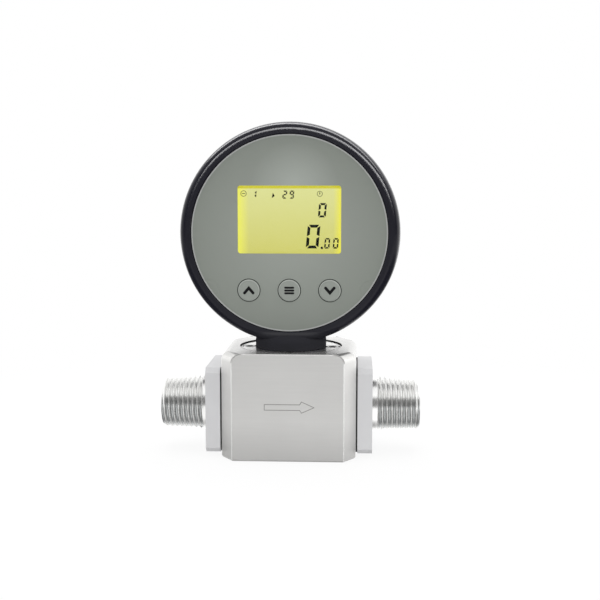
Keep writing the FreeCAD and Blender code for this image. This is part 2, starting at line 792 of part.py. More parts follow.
def main():
    os.makedirs("parts", exist_ok=True)
    for place, side in (("inlet", -1), ("outlet", 1)):
        save(place + "_adapter", adapter(side))
        save(place + "_adapter_screws", adapter_screws(side))
        save(place + "_gasket", gasket(side))
        save(place + "_screen", screen(side))
    for piece in (flow_body, flow_straightener, laminar_element, tap_seals, sensor_insert, sensor_chip,
                  sensor_board, sensor_clamp_ring, sensor_connector, mounting_flange, mounting_flange_screws,
                  neck_screws, head_housing, rear_cover, rear_cover_seal, rear_cover_screws, face_overlay,
                  keypad_circuit, key_domes, lcd_window, lcd_panel, lcd_backlight, lcd_holder, main_board,
                  board_screws, board_connector, sensor_ribbon, battery_cell, battery_holder):
        save(piece.__name__, piece())


main()
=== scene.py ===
"""Looks of the inline gas mass flow meter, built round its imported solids.

Metres, in the frame of the part: +X is the flow direction, the display faces -Y and +Z is up.
Sizes are written in millimetres and turned into metres where a mesh or a place is made.
"""
import math

import bmesh
import bpy
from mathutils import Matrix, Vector


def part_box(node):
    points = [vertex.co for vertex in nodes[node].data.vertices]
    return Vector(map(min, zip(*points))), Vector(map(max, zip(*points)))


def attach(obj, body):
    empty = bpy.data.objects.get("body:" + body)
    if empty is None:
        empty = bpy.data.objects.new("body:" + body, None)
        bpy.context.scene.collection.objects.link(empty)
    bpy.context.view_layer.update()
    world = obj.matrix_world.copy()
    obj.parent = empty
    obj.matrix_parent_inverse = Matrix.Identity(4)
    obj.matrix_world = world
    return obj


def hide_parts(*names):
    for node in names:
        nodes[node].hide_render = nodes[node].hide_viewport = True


MM = 0.001

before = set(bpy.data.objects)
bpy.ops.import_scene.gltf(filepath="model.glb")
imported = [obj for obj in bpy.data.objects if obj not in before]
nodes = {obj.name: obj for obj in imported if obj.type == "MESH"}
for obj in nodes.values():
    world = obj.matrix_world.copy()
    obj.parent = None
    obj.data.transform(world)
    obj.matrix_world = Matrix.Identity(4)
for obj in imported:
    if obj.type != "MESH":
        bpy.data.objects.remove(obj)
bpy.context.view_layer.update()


def box_mm(node):
    """Lowest and highest corner of a CAD node in millimetres."""
    low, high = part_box(node)
    return low / MM, high / MM


# Camera of the photograph, in millimetres
CAMERA_PLACE = (24.228, -400.864, 103.164)
CAMERA_TARGET = (3.43, 0.0, 57.43)
CAMERA_LENS = 63.39

# Places read from the frame
BODY_LOW, BODY_HIGH = box_mm("flow_body")
OVERLAY_LOW, OVERLAY_HIGH = box_mm("face_overlay")
PANEL_LOW, PANEL_HIGH = box_mm("lcd_panel")
DIAL_HEIGHT = (OVERLAY_LOW.z + OVERLAY_HIGH.z) / 2
KEY_TOP = OVERLAY_LOW.y
KEY_RAISE = 0.3
FACE_FRONT = KEY_TOP + KEY_RAISE
PANEL_FRONT = PANEL_LOW.y
VIEW_HEIGHT = (PANEL_LOW.z + PANEL_HIGH.z) / 2
OVERLAY_RADIUS = (OVERLAY_HIGH.x - OVERLAY_LOW.x) / 2
DISC_HIGH = box_mm("mounting_flange")[1]
ADAPTER_LOW, ADAPTER_HIGH = box_mm("outlet_adapter")
AXIS_HEIGHT = (ADAPTER_LOW.z + ADAPTER_HIGH.z) / 2
NIPPLE_END = ADAPTER_HIGH.x
SCREWS_HIGH = box_mm("mounting_flange_screws")[1]
BODY_FRONT = BODY_LOW.y

# Head housing: heights below the first are its neck, places behind the second are its drum
NECK_HEIGHT = BODY_HIGH.z + 6.0
RIM_BACK = -6.0

# Block: bevel of its upright corners across x and y, and its rounded shoulders
BEVEL_WIDE = 4.3
BEVEL_DEEP = 6.3
SHOULDER_WIDE = 3.87
SHOULDER_TALL = 3.2

# Painted shade in the gaps round the disc and its screw heads, and in the sockets
SEAT_SHADE = 0.38
SEAT_DEPTH = 4.0
SCREW_HEAD = 2.4
SCREW_GAP = 0.42
SCREW_CIRCLE = SCREWS_HIGH.x - SCREW_HEAD
SOCKET_SHADE = 1.5

# Finish of the block: width of the painted highlight on its upright edges, how much darker painted shade
# makes the faces other than the bevels and the foot, where the foot's shade has half faded, and the reach on
# both sides
EDGE_HIGHLIGHT_WIDTH = 0.22
FACE_SHADE_SHARE = 0.21
FOOT_SHADE_SHARE = 0.30
FOOT_MIDDLE = 5.0
FOOT_REACH = 10.0

# Common to several finishes: noise that isn't stretched, its detail, the scale of a fine grain
# and the depth of relief, in metres
EVEN = (1.0, 1.0, 1.0)
NOISE_DETAIL = 3.0
GRAIN_SCALE = 2500.0
FINE_RELIEF = 0.00002
BLACK = (0.0, 0.0, 0.0)

# Keys: their places, the line round each, the painted highlight on the upper edge and the icons
KEY_SPACING = 15.1
KEY_DROP = 21.1
KEY_RADIUS = 4.1
KEY_LINE = 0.26
KEY_PILLOW = 0.12
KEY_ROUND = 0.35
SHEEN_OUTSIDE = 0.12
SHEEN_INSIDE = 0.32
SHEEN_ASIDE = 0.06
SHEEN_DOWN = 0.16
ICON_STROKE = 1.05
CHEVRON_RISE = 0.85
CHEVRON_DROP = 1.0
CHEVRON_HALF = 1.6
BAR_STEP = 1.04
BAR_HALF = 1.5
BAR_STROKE = 0.74

# Film: width of the painted highlight on its cut edge, the distance from its centre where the painted shade
# has half darkened it, the reach on both sides, and the place and reach of the painted sheen above the
# display
CUT_EDGE_HIGHLIGHT = 0.45
FILM_HALFWAY = 24.0
FILM_REACH = 14.0
SHEEN_SIDE = 2.0
SHEEN_REACH = 8.0

# Prints and fine lines: how far they reach in, and stand proud of the film, the display or the metal
PRINT_DEPTH = 0.1
FILM_PROUD = 0.03
DISPLAY_PROUD = 0.04
METAL_PROUD = 0.01

# Display opening, how far the deeper yellow reaches in from its sides, and how far the painted shadow reaches
# down from its top
VIEW_WIDE = 38.3
VIEW_TALL = 25.1
LEFT_BAND = 1.9
RIGHT_BAND = 1.5
TOP_SHADOW_BAND = 1.1

# Threaded nipples: the painted shade of the roots has half faded at a height over the axis, and a phase is
# the share of a turn at which the first crest lies
NIPPLE_LENGTH = 18.0
COLLAR_LENGTH = 1.6
COLLAR_RADIUS = 10.5
COLLAR_SINK = 0.5
BORE_RADIUS = 7.0
THREAD_PITCH = 1.814
THREAD_ROUND = 0.1373 * THREAD_PITCH
THREAD_FLANK = math.radians(62.5)
THREAD_TAPER = 1.0 / 32.0
THREAD_FADE = 0.7
END_BEVEL = 1.3
TURN_STEPS = 96
ARC_STEPS = 4
SMOOTH_ANGLE = 35.0
ROOT_SHADE = 0.65
ROOT_FADE = 2.0
ROOT_SHADE_COLOUR = (0.50, 0.51, 0.51)
CREST_PHASE = {"outlet_adapter": 0.74, "inlet_adapter": 0.28}

# Arrow on the front of the body, as (x, z)
ARROW_OUTLINE = [(-8.52, 19.36), (4.45, 19.36), (5.13, 18.37), (9.67, 20.42), (5.13, 22.55), (4.45, 21.44),
                 (-8.52, 21.44)]
ARROW_LINE = 0.26

# Painted shade line along the arc at each upper corner of the front and back faces
CORNER_SHADE_LINE = 0.13
CORNER_STEPS = 12

# Sides of the round end of a stroke
CAP_STEPS = 8


def new_material(name, colour, metallic, roughness):
    """A node material and its shader, with plain values on the shader's own sockets."""
    material = bpy.data.materials.new(name)
    material.use_nodes = True
    shader = material.node_tree.nodes["Principled BSDF"]
    shader.inputs["Base Color"].default_value = (*colour, 1.0)
    shader.inputs["Metallic"].default_value = metallic
    shader.inputs["Roughness"].default_value = roughness
    return material, shader


def add_node(material, kind, **values):
    """A node of a material or a world, with its properties set."""
    node = material.node_tree.nodes.new(kind)
    for key, value in values.items():
        setattr(node, key, value)
    return node


def link(material, source, target):
    """Join one node's output to another's input."""
    material.node_tree.links.new(source, target)


def part_noise(material, stretch, scale):
    """Noise in the part's own coordinates; stretch makes it longer along an axis."""
    coordinates = add_node(material, "ShaderNodeTexCoord")
    mapping = add_node(material, "ShaderNodeMapping")
    mapping.inputs["Scale"].default_value = stretch
    noise = add_node(material, "ShaderNodeTexNoise")
    noise.inputs["Scale"].default_value = scale
    noise.inputs["Detail"].default_value = NOISE_DETAIL
    link(material, coordinates.outputs["Object"], mapping.inputs["Vector"])
    link(material, mapping.outputs["Vector"], noise.inputs["Vector"])
    return noise.outputs["Fac"]


def spread(material, value, low, high, centre=0.5, width=0.25):
    """A number that runs from low to high as the value crosses the width on both sides of the centre."""
    mapped = add_node(material, "ShaderNodeMapRange")
    mapped.inputs["From Min"].default_value = centre - width
    mapped.inputs["From Max"].default_value = centre + width
    mapped.inputs["To Min"].default_value = low
    mapped.inputs["To Max"].default_value = high
    link(material, value, mapped.inputs["Value"])
    return mapped.outputs["Result"]


def dimmed(colour, share):
    """A colour at a share of its brightness."""
    return tuple(share * channel for channel in colour)


def blend_colours(material, factor, first, second):
    """A colour between two others."""
    mix = add_node(material, "ShaderNodeMix", data_type="RGBA")
    mix.inputs["A"].default_value = (*first, 1.0)
    mix.inputs["B"].default_value = (*second, 1.0)
    link(material, factor, mix.inputs["Factor"])
    return mix.outputs["Result"]


def product(material, first, second):
    """Two values multiplied."""
    node = add_node(material, "ShaderNodeMath", operation="MULTIPLY")
    link(material, first, node.inputs[0])
    link(material, second, node.inputs[1])
    return node.outputs["Value"]


def mean_value(material, first, second):
    """The mean of two values."""
    node = add_node(material, "ShaderNodeMix", data_type="FLOAT")
    node.inputs["Factor"].default_value = 0.5
    link(material, first, node.inputs["A"])
    link(material, second, node.inputs["B"])
    return node.outputs["Result"]


def relief_node(material, height, strength, distance):
    """A bump node over a height."""
    bump = add_node(material, "ShaderNodeBump")
    bump.inputs["Strength"].default_value = strength
    bump.inputs["Distance"].default_value = distance
    link(material, height, bump.inputs["Height"])
    return bump


def add_bump(material, shader, height, strength):
    """Fine relief from a noise value."""
    bump = relief_node(material, height, strength, FINE_RELIEF)
    link(material, bump.outputs["Normal"], shader.inputs["Normal"])


def worn_metal(name, colour, roughness, stretch, scale, streak, relief, metallic=1.0):
    """Bare metal whose roughness and tone vary along its tool marks."""
    material, shader = new_material(name, colour, metallic, roughness)
    fine = part_noise(material, stretch, scale)
    broad = part_noise(material, EVEN, 60.0)
    link(material, spread(material, fine, roughness - streak, roughness + streak), shader.inputs["Roughness"])
    link(material, blend_colours(material, spread(material, broad, 0.0, 1.0), dimmed(colour, 0.93), colour),
         shader.inputs["Base Color"])
    add_bump(material, shader, fine, relief)
    return material


def part_axes(material, absolute=False):
    """The part's own coordinates as three sockets, without their signs if asked."""
    coordinates = add_node(material, "ShaderNodeTexCoord")
    axes = add_node(material, "ShaderNodeSeparateXYZ")
    place = coordinates.outputs["Object"]
    if absolute:
        folded = add_node(material, "ShaderNodeVectorMath", operation="ABSOLUTE")
        link(material, place, folded.inputs[0])
        place = folded.outputs["Vector"]
    link(material, place, axes.inputs["Vector"])
    return axes


def upright_distance(material, points):
    """Distance from the nearest of some upright lines at (x, y), mirrored in both planes, in metres."""
    axes = part_axes(material, absolute=True)
    flat = add_node(material, "ShaderNodeCombineXYZ")
    link(material, axes.outputs["X"], flat.inputs["X"])
    link(material, axes.outputs["Y"], flat.inputs["Y"])
    nearest = None
    for x, y in points:
        away = add_node(material, "ShaderNodeVectorMath", operation="DISTANCE")
        away.inputs[1].default_value = (x * MM, y * MM, 0.0)
        link(material, flat.outputs["Vector"], away.inputs[0])
        if nearest is None:
            nearest = away.outputs["Value"]
            continue
        least = add_node(material, "ShaderNodeMath", operation="MINIMUM")
        link(material, nearest, least.inputs[0])
        link(material, away.outputs["Value"], least.inputs[1])
        nearest = least.outputs["Value"]
    return nearest


def over_colour(material, factor, below, colour):
    """A colour laid over another where the factor is high."""
    mix = add_node(material, "ShaderNodeMix", data_type="RGBA")
    mix.inputs["B"].default_value = (*colour, 1.0)
    link(material, factor, mix.inputs["Factor"])
    link(material, below, mix.inputs["A"])
    return mix.outputs["Result"]


def over_value(material, factor, below, value):
    """A number laid over another where the factor is high."""
    mix = add_node(material, "ShaderNodeMix", data_type="FLOAT")
    mix.inputs["B"].default_value = value
    link(material, factor, mix.inputs["Factor"])
    link(material, below, mix.inputs["A"])
    return mix.outputs["Result"]


def body_material():
    """Machined block with brush streaks, finer on top; painted edge highlights; painted shade on non-bevel
    faces, foot and disc seat.
    """
    colour = (0.78, 0.775, 0.76)
    material, shader = new_material("body_metal", colour, 0.75, 0.42)
    streaks = part_noise(material, (6.0, 90.0, 90.0), 12.0)
    broad = part_noise(material, EVEN, 60.0)
    facing = add_node(material, "ShaderNodeTexCoord")
    normal = add_node(material, "ShaderNodeSeparateXYZ")
    link(material, facing.outputs["Normal"], normal.inputs["Vector"])
    upward = spread(material, normal.outputs["Z"], 0.0, 1.0, centre=0.3, width=0.1)
    # Painted highlight along the block's upright edges: a pale, smoother strip
    edge_highlight = spread(material, upright_distance(material, [(BODY_HIGH.x - BEVEL_WIDE, BODY_HIGH.y),
                                                        (BODY_HIGH.x, BODY_HIGH.y - BEVEL_DEEP)]),
                  1.0, 0.0, centre=EDGE_HIGHLIGHT_WIDTH * MM, width=0.1 * MM)
    # Painted shade in the seat round the disc: darker, rough and not metallic on the block near its top, just
    # outside the disc
    in_seat_shade = spread(material, upright_distance(material, [(0.0, 0.0)]), 1.0, 0.0,
                     centre=(DISC_HIGH.x + SEAT_SHADE) * MM, width=0.05 * MM)
    near_top_shade = spread(material, part_axes(material).outputs["Z"], 0.0, 1.0,
                      centre=(BODY_HIGH.z - SEAT_DEPTH) * MM, width=0.5 * MM)
    gap = product(material, in_seat_shade, near_top_shade)
    rough = spread(material, streaks, 0.39, 0.45)
    rough = over_value(material, upward, rough, 0.25)
    rough = over_value(material, edge_highlight, rough, 0.22)
    link(material, over_value(material, gap, rough, 1.0), shader.inputs["Roughness"])
    link(material, spread(material, gap, 0.75, 0.0, centre=0.5, width=0.5), shader.inputs["Metallic"])
    tone = blend_colours(material, spread(material, mean_value(material, streaks, broad), 0.0, 1.0),
                         dimmed(colour, 0.91), colour)
    # Painted shade: every face but the upright bevels is made darker
    corner = add_node(material, "ShaderNodeMath", operation="ABSOLUTE")
    link(material, product(material, normal.outputs["X"], normal.outputs["Y"]), corner.inputs[0])
    face_shade = spread(material, corner.outputs["Value"], FACE_SHADE_SHARE, 0.0, centre=0.3, width=0.1)
    tone = over_colour(material, face_shade, tone, BLACK)
    # Painted shade: darker towards the foot of the block
    foot = spread(material, part_axes(material).outputs["Z"], FOOT_SHADE_SHARE, 0.0, centre=FOOT_MIDDLE * MM,
                  width=FOOT_REACH * MM)
    tone = over_colour(material, foot, tone, BLACK)
    tone = over_colour(material, edge_highlight, tone, (0.93, 0.93, 0.92))
    # Dark colour of the painted seat shade, laid over last
    link(material, over_colour(material, gap, tone, (0.03, 0.03, 0.03)), shader.inputs["Base Color"])
    add_bump(material, shader, streaks, 0.04)
    return material


def thread_material():
    """Cut thread: bright crests, and painted shade in the roots on its lower half."""
    colour = (0.82, 0.82, 0.81)
    material, shader = new_material("thread_metal", colour, 1.0, 0.27)
    fine = part_noise(material, (90.0, 6.0, 6.0), 14.0)
    axes = part_axes(material, absolute=True)
    above = add_node(material, "ShaderNodeMath", operation="SUBTRACT")
    above.inputs[1].default_value = AXIS_HEIGHT * MM
    link(material, axes.outputs["Z"], above.inputs[0])
    across = add_node(material, "ShaderNodeCombineXYZ")
    link(material, axes.outputs["Y"], across.inputs["X"])
    link(material, above.outputs["Value"], across.inputs["Y"])
    away = add_node(material, "ShaderNodeVectorMath", operation="LENGTH")
    link(material, across.outputs["Vector"], away.inputs[0])
    taper = add_node(material, "ShaderNodeMath", operation="MULTIPLY_ADD")
    taper.inputs[1].default_value = THREAD_TAPER
    link(material, axes.outputs["X"], taper.inputs[0])
    link(material, away.outputs["Value"], taper.inputs[2])
    crest = COLLAR_RADIUS + (NIPPLE_END - NIPPLE_LENGTH + COLLAR_LENGTH) * THREAD_TAPER
    # Painted shade in the thread roots, fading out above the axis
    deep = spread(material, taper.outputs["Value"], 1.0, 0.0, centre=(crest - ROOT_SHADE) * MM,
                  width=0.3 * MM)
    link(material, spread(material, fine, 0.25, 0.29), shader.inputs["Roughness"])
    plain = blend_colours(material, spread(material, fine, 0.0, 1.0), dimmed(colour, 0.95), colour)
    lower = spread(material, above.outputs["Value"], 1.0, 0.0, centre=ROOT_FADE * MM, width=ROOT_FADE * MM)
    link(material, over_colour(material, product(material, deep, lower), plain, ROOT_SHADE_COLOUR),
         shader.inputs["Base Color"])
    return material


def screw_places():
    """Axes of the mounting flange's screws as (x, y)."""
    return [(SCREW_CIRCLE, 0.0), (0.0, SCREW_CIRCLE)]


def disc_material():
    """The mounting flange: fine turned metal with painted shade in the gap round each screw head."""
    colour = (0.96, 0.96, 0.95)
    material, shader = new_material("flange_metal", colour, 1.0, 0.32)
    fine = part_noise(material, (40.0, 40.0, 40.0), 20.0)
    away = upright_distance(material, screw_places())
    # Painted shade in the gap round each screw head: dark, rough and not metallic
    gap = spread(material, away, 1.0, 0.0, centre=(SCREW_HEAD + SCREW_GAP) * MM, width=0.06 * MM)
    rough = spread(material, fine, 0.30, 0.34)
    link(material, over_value(material, gap, rough, 1.0), shader.inputs["Roughness"])
    link(material, spread(material, gap, 1.0, 0.0, centre=0.5, width=0.5), shader.inputs["Metallic"])
    tone = blend_colours(material, spread(material, fine, 0.0, 1.0), dimmed(colour, 0.96), colour)
    link(material, over_colour(material, gap, tone, (0.02, 0.02, 0.02)), shader.inputs["Base Color"])
    return material


def sunk_screw_material():
    """Screws of the mounting flange: plain heads with painted shade in the socket."""
    colour = (0.86, 0.86, 0.85)
    material, shader = new_material("sunk_screw", colour, 1.0, 0.37)
    fine = part_noise(material, (50.0, 50.0, 50.0), 30.0)
    away = upright_distance(material, screw_places())
    # Painted shade in each screw's socket
    socket = spread(material, away, 1.0, 0.0, centre=SOCKET_SHADE * MM, width=0.05 * MM)
    link(material, over_value(material, socket, spread(material, fine, 0.34, 0.40), 1.0),
         shader.inputs["Roughness"])
    link(material, spread(material, socket, 1.0, 0.0, centre=0.5, width=0.5), shader.inputs["Metallic"])
    tone = blend_colours(material, spread(material, fine, 0.0, 1.0), dimmed(colour, 0.95), colour)
    link(material, over_colour(material, socket, tone, (0.01, 0.01, 0.01)), shader.inputs["Base Color"])
    return material


def moulded(name, colour, roughness):
    """Moulded plastic or rubber with a fine grain."""
    material, shader = new_material(name, colour, 0.0, roughness)
    grain = part_noise(material, EVEN, GRAIN_SCALE)
    patches = part_noise(material, EVEN, 90.0)
    link(material, spread(material, patches, roughness - 0.03, roughness + 0.03), shader.inputs["Roughness"])
    link(material, blend_colours(material, spread(material, grain, 0.0, 1.0), colour, dimmed(colour, 1.15)),
         shader.inputs["Base Color"])
    add_bump(material, shader, grain, 0.12)
    return material


def housing_material():
    """Black moulding: glossy on the rim, dull on the drum and the neck."""
    material, shader = new_material("housing_black", (0.0070, 0.0070, 0.0125), 0.0, 0.20)
    axes = part_axes(material)
    shader.inputs["Specular IOR Level"].default_value = 0.17
    rough = spread(material, axes.outputs["Y"], 0.20, 0.82, centre=RIM_BACK * MM, width=1.5 * MM)
    neck = spread(material, axes.outputs["Z"], 1.0, 0.0, centre=NECK_HEIGHT * MM, width=1.0 * MM)
    link(material, over_value(material, neck, rough, 0.95), shader.inputs["Roughness"])
    grain = part_noise(material, EVEN, 1800.0)
    link(material, blend_colours(material, spread(material, grain, 0.0, 1.0), (0.0065, 0.0065, 0.0120),
                                 (0.0075, 0.0073, 0.0130)), shader.inputs["Base Color"])
    return material


def distance_from(material, x, z):
    """Distance in the plane of the face from the point (x, z), in metres."""
    coordinates = add_node(material, "ShaderNodeTexCoord")
    flat = add_node(material, "ShaderNodeVectorMath", operation="MULTIPLY")
    flat.inputs[1].default_value = (1.0, 0.0, 1.0)
    link(material, coordinates.outputs["Object"], flat.inputs[0])
    away = add_node(material, "ShaderNodeVectorMath", operation="DISTANCE")
    away.inputs[1].default_value = (x * MM, 0.0, z * MM)
    link(material, flat.outputs["Vector"], away.inputs[0])
    return away.outputs["Value"]


def from_key(material):
    """Distance in the plane of the face from the nearest key's centre, in metres."""
    axes = part_axes(material)
    along = add_node(material, "ShaderNodeMath", operation="WRAP")
    along.inputs[1].default_value = KEY_SPACING / 2 * MM
    along.inputs[2].default_value = -KEY_SPACING / 2 * MM
    link(material, axes.outputs["X"], along.inputs[0])
    above = add_node(material, "ShaderNodeMath", operation="SUBTRACT")
    above.inputs[1].default_value = (DIAL_HEIGHT - KEY_DROP) * MM
    link(material, axes.outputs["Z"], above.inputs[0])
    flat = add_node(material, "ShaderNodeCombineXYZ")
    link(material, along.outputs["Value"], flat.inputs["X"])
    link(material, above.outputs["Value"], flat.inputs["Y"])
    away = add_node(material, "ShaderNodeVectorMath", operation="LENGTH")
    link(material, flat.outputs["Vector"], away.inputs[0])
    return away.outputs["Value"]


def overlay_material():
    """Grey film, paler on keys; painted shade away from the middle, painted sheen above the display, painted
    cut-edge highlight.
    """
    material, shader = new_material("overlay_film", (0.27, 0.29, 0.26), 0.0, 0.42)
    from_centre = distance_from(material, 0.0, DIAL_HEIGHT)
    # Painted shade: the film darkens away from its middle
    painted_falloff = spread(material, from_centre, 0.0, 1.0, centre=FILM_HALFWAY * MM, width=FILM_REACH * MM)
    tone = blend_colours(material, painted_falloff, (0.275, 0.297, 0.268), (0.205, 0.224, 0.198))
    # Painted sheen above the display
    above_view = distance_from(material, SHEEN_SIDE, VIEW_HEIGHT + VIEW_TALL / 2)
    painted_sheen = spread(material, above_view, 1.0, 0.0, centre=SHEEN_REACH * MM, width=SHEEN_REACH * MM)
    tone = over_colour(material, painted_sheen, tone, (0.34, 0.365, 0.335))
    # Painted highlight along the film's cut edge
    edge = spread(material, from_centre, 0.0, 1.0, centre=(OVERLAY_RADIUS - CUT_EDGE_HIGHLIGHT) * MM, width=0.05 * MM)
    tone = over_colour(material, edge, tone, (0.40, 0.41, 0.40))
    raised = spread(material, part_axes(material).outputs["Y"], 1.0, 0.0, centre=(FACE_FRONT - 0.1) * MM,
                    width=0.05 * MM)
    tone = over_colour(material, raised, tone, (0.262, 0.283, 0.256))
    link(material, tone, shader.inputs["Base Color"])
    grain = relief_node(material, part_noise(material, EVEN, GRAIN_SCALE), 0.1, FINE_RELIEF)
    rise = spread(material, from_key(material), 1.0, 0.0, centre=(KEY_RADIUS - KEY_ROUND) * MM,
                  width=0.3 * MM)
    pillow = relief_node(material, rise, 1.0, KEY_PILLOW * MM)
    link(material, grain.outputs["Normal"], pillow.inputs["Normal"])
    link(material, pillow.outputs["Normal"], shader.inputs["Normal"])
    return material


def display_material():
    """The lit display field: deep yellow at the sides, a painted shadow along the top edge, paler inside."""
    material, shader = new_material("display_field", (0.02, 0.02, 0.01), 0.0, 0.5)
    axes = part_axes(material)
    upper = spread(material, axes.outputs["Z"], 0.0, 1.0, centre=VIEW_HEIGHT * MM, width=VIEW_TALL / 2 * MM)
    tone = blend_colours(material, upper, (0.595, 0.58, 0.128), (0.695, 0.71, 0.285))
    near_left = spread(material, axes.outputs["X"], 1.0, 0.0, centre=(LEFT_BAND - VIEW_WIDE / 2) * MM,
                       width=2.1 * MM)
    tone = over_colour(material, near_left, tone, (0.86, 0.85, 0.10))
    near_right = spread(material, axes.outputs["X"], 0.0, 1.0, centre=(VIEW_WIDE / 2 - RIGHT_BAND) * MM,
                        width=1.4 * MM)
    tone = over_colour(material, near_right, tone, (0.84, 0.79, 0.06))
    # Painted shadow of the opening's top edge on the display
    near_top_shade = spread(material, axes.outputs["Z"], 0.0, 1.0,
                      centre=(VIEW_HEIGHT + VIEW_TALL / 2 - TOP_SHADOW_BAND) * MM, width=0.12 * MM)
    tone = over_colour(material, near_top_shade, tone, (0.60, 0.56, 0.020))
    link(material, tone, shader.inputs["Emission Color"])
    shader.inputs["Emission Strength"].default_value = 1.0
    return material


def window_material():
    """Clear plastic."""
    material, shader = new_material("window_clear", (1.0, 1.0, 1.0), 0.0, 0.02)
    shader.inputs["Transmission Weight"].default_value = 1.0
    shader.inputs["IOR"].default_value = 1.2
    return material


def printed_ink(name, colour, roughness):
    """Flat print with slightly uneven cover."""
    material, shader = new_material(name, colour, 0.0, roughness)
    shader.inputs["Specular IOR Level"].default_value = 0.1
    uneven = part_noise(material, EVEN, 1500.0)
    link(material, blend_colours(material, spread(material, uneven, 0.0, 1.0), colour, dimmed(colour, 1.2)),
         shader.inputs["Base Color"])
    return material


def small_metal(name, colour, roughness, streak=0.06, relief=0.06):
    """The bare metal of a small piece."""
    return worn_metal(name, colour, roughness, (50.0, 50.0, 50.0), 30.0, streak, relief)


def make_materials():
    """Every finish, by the record's slot name where it has one."""
    made = {
        "body_metal": body_material(),
        "adapter_metal": worn_metal("adapter_metal", (0.64, 0.64, 0.65), 0.40, (60.0, 60.0, 60.0), 8.0,
                                    streak=0.02, relief=0.02, metallic=0.65),
        "thread_metal": thread_material(),
        "flange_metal": disc_material(),
        "sunk_screw": sunk_screw_material(),
        "screw_metal": small_metal("screw_metal", (0.62, 0.61, 0.60), 0.25),
        "screen_metal": small_metal("screen_metal", (0.66, 0.65, 0.63), 0.35),
        "dome_metal": small_metal("dome_metal", (0.75, 0.74, 0.70), 0.25, streak=0.05, relief=0.04),
        "housing_black": housing_material(),
        "gasket_rubber": moulded("gasket_rubber", (0.010, 0.010, 0.011), 0.55),
        "seal_rubber": moulded("seal_rubber", (0.012, 0.012, 0.012), 0.5),
        "flow_plastic": moulded("flow_plastic", (0.75, 0.75, 0.72), 0.4),
        "sensor_plastic": moulded("sensor_plastic", (0.05, 0.05, 0.055), 0.45),
        "board_green": moulded("board_green", (0.02, 0.14, 0.05), 0.4),
        "chip_black": moulded("chip_black", (0.015, 0.015, 0.015), 0.5),
        "connector_white": moulded("connector_white", (0.75, 0.74, 0.68), 0.45),
        "film_amber": moulded("film_amber", (0.45, 0.22, 0.03), 0.35),
        "backlight_white": moulded("backlight_white", (0.85, 0.85, 0.82), 0.4),
        "ribbon_grey": moulded("ribbon_grey", (0.45, 0.46, 0.47), 0.45),
        "cell_wrap": moulded("cell_wrap", (0.03, 0.09, 0.25), 0.35),
        "overlay_grey": overlay_material(),
        "panel_green": display_material(),
        "window_clear": window_material(),
        "key_line": printed_ink("key_line", (0.025, 0.028, 0.025), 0.5),
        # A painted highlight on the upper edge of each key
        "key_edge_highlight": printed_ink("key_edge_highlight", (0.36, 0.38, 0.355), 0.45),
        "key_icon": printed_ink("key_icon", (0.006, 0.006, 0.007), 0.5),
        "digit_dark": printed_ink("digit_dark", (0.004, 0.007, 0.003), 0.6),
        "digit_faint": printed_ink("digit_faint", (0.07, 0.08, 0.02), 0.6),
        # A painted shade line round the upper corners of the block's faces
        "edge_shade_line": printed_ink("edge_shade_line", (0.30, 0.30, 0.29), 0.6),
        "arrow_groove": printed_ink("arrow_groove", (0.23, 0.23, 0.22), 0.6),
    }
    return made


def dress_nodes(finishes):
    """Give each CAD node the finish of its slot in the record."""
    for node in nodes.values():
        for index, old in enumerate(node.data.materials):
            node.data.materials[index] = finishes[old.name.split(".")[0]]
    screws = nodes["mounting_flange_screws"].data.materials
    for index in range(len(screws)):
        screws[index] = finishes["sunk_screw"]


def new_piece(name, mesh, finish):
    """An object of the part that rides on its one body."""
    piece = bpy.data.objects.new(name, mesh)
    bpy.context.scene.collection.objects.link(piece)
    mesh.materials.append(finish)
    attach(piece, "root")
    return piece


def mesh_from(work, name, smooth_angle=None):
    """A mesh from a bmesh, with its normals outward, smooth up to an angle."""
    bmesh.ops.remove_doubles(work, verts=work.verts, dist=1e-7)
    bmesh.ops.recalc_face_normals(work, faces=work.faces)
    mesh = bpy.data.meshes.new(name)
    work.to_mesh(mesh)
    work.free()
    if "custom_normal" in mesh.attributes:
        mesh.attributes.remove(mesh.attributes["custom_normal"])
    if smooth_angle is not None:
        mesh.polygons.foreach_set("use_smooth", [True] * len(mesh.polygons))
        mesh.set_sharp_from_angle(angle=math.radians(smooth_angle))
    return mesh


def add_plate(work, outline, front, back):
    """A flat plate facing -Y on a closed outline of (x, z) points in millimetres."""
    near = [work.verts.new(Vector((x, front, z)) * MM) for x, z in outline]
    far = [work.verts.new(Vector((x, back, z)) * MM) for x, z in outline]
    count = len(outline)
    work.faces.new(near)
    work.faces.new(list(reversed(far)))
    for i in range(count):
        work.faces.new((near[i], far[i], far[(i + 1) % count], near[(i + 1) % count]))


def add_ring(work, outer, inner, front, back):
    """A flat ring between two outlines that have as many points."""
    loops = [[work.verts.new(Vector((x, y, z)) * MM) for x, z in outline]
             for outline, y in ((outer, front), (inner, front), (inner, back), (outer, back))]
    count = len(outer)
    for first, second in zip(loops, loops[1:] + loops[:1]):
        for i in range(count):
            j = (i + 1) % count
            work.faces.new((first[i], first[j], second[j], second[i]))


def circle(x, z, radius, steps=64):
    """Points of a circle as (x, z)."""
    return [(x + radius * math.cos(2 * math.pi * i / steps), z + radius * math.sin(2 * math.pi * i / steps))
            for i in range(steps)]


def offset_outline(outline, distance):
    """A closed outline moved outward by a distance; the points run anticlockwise."""
    moved = []
    count = len(outline)
    for i in range(count):
        before, here, after = (Vector(outline[j % count]) for j in (i - 1, i, i + 1))
        first = (here - before).normalized()
        second = (after - here).normalized()
        normal_one = Vector((first.y, -first.x))
        normal_two = Vector((second.y, -second.x))
        middle = (normal_one + normal_two).normalized()
        moved.append(tuple(here + middle * distance / max(0.3, middle.dot(normal_one))))
    return moved


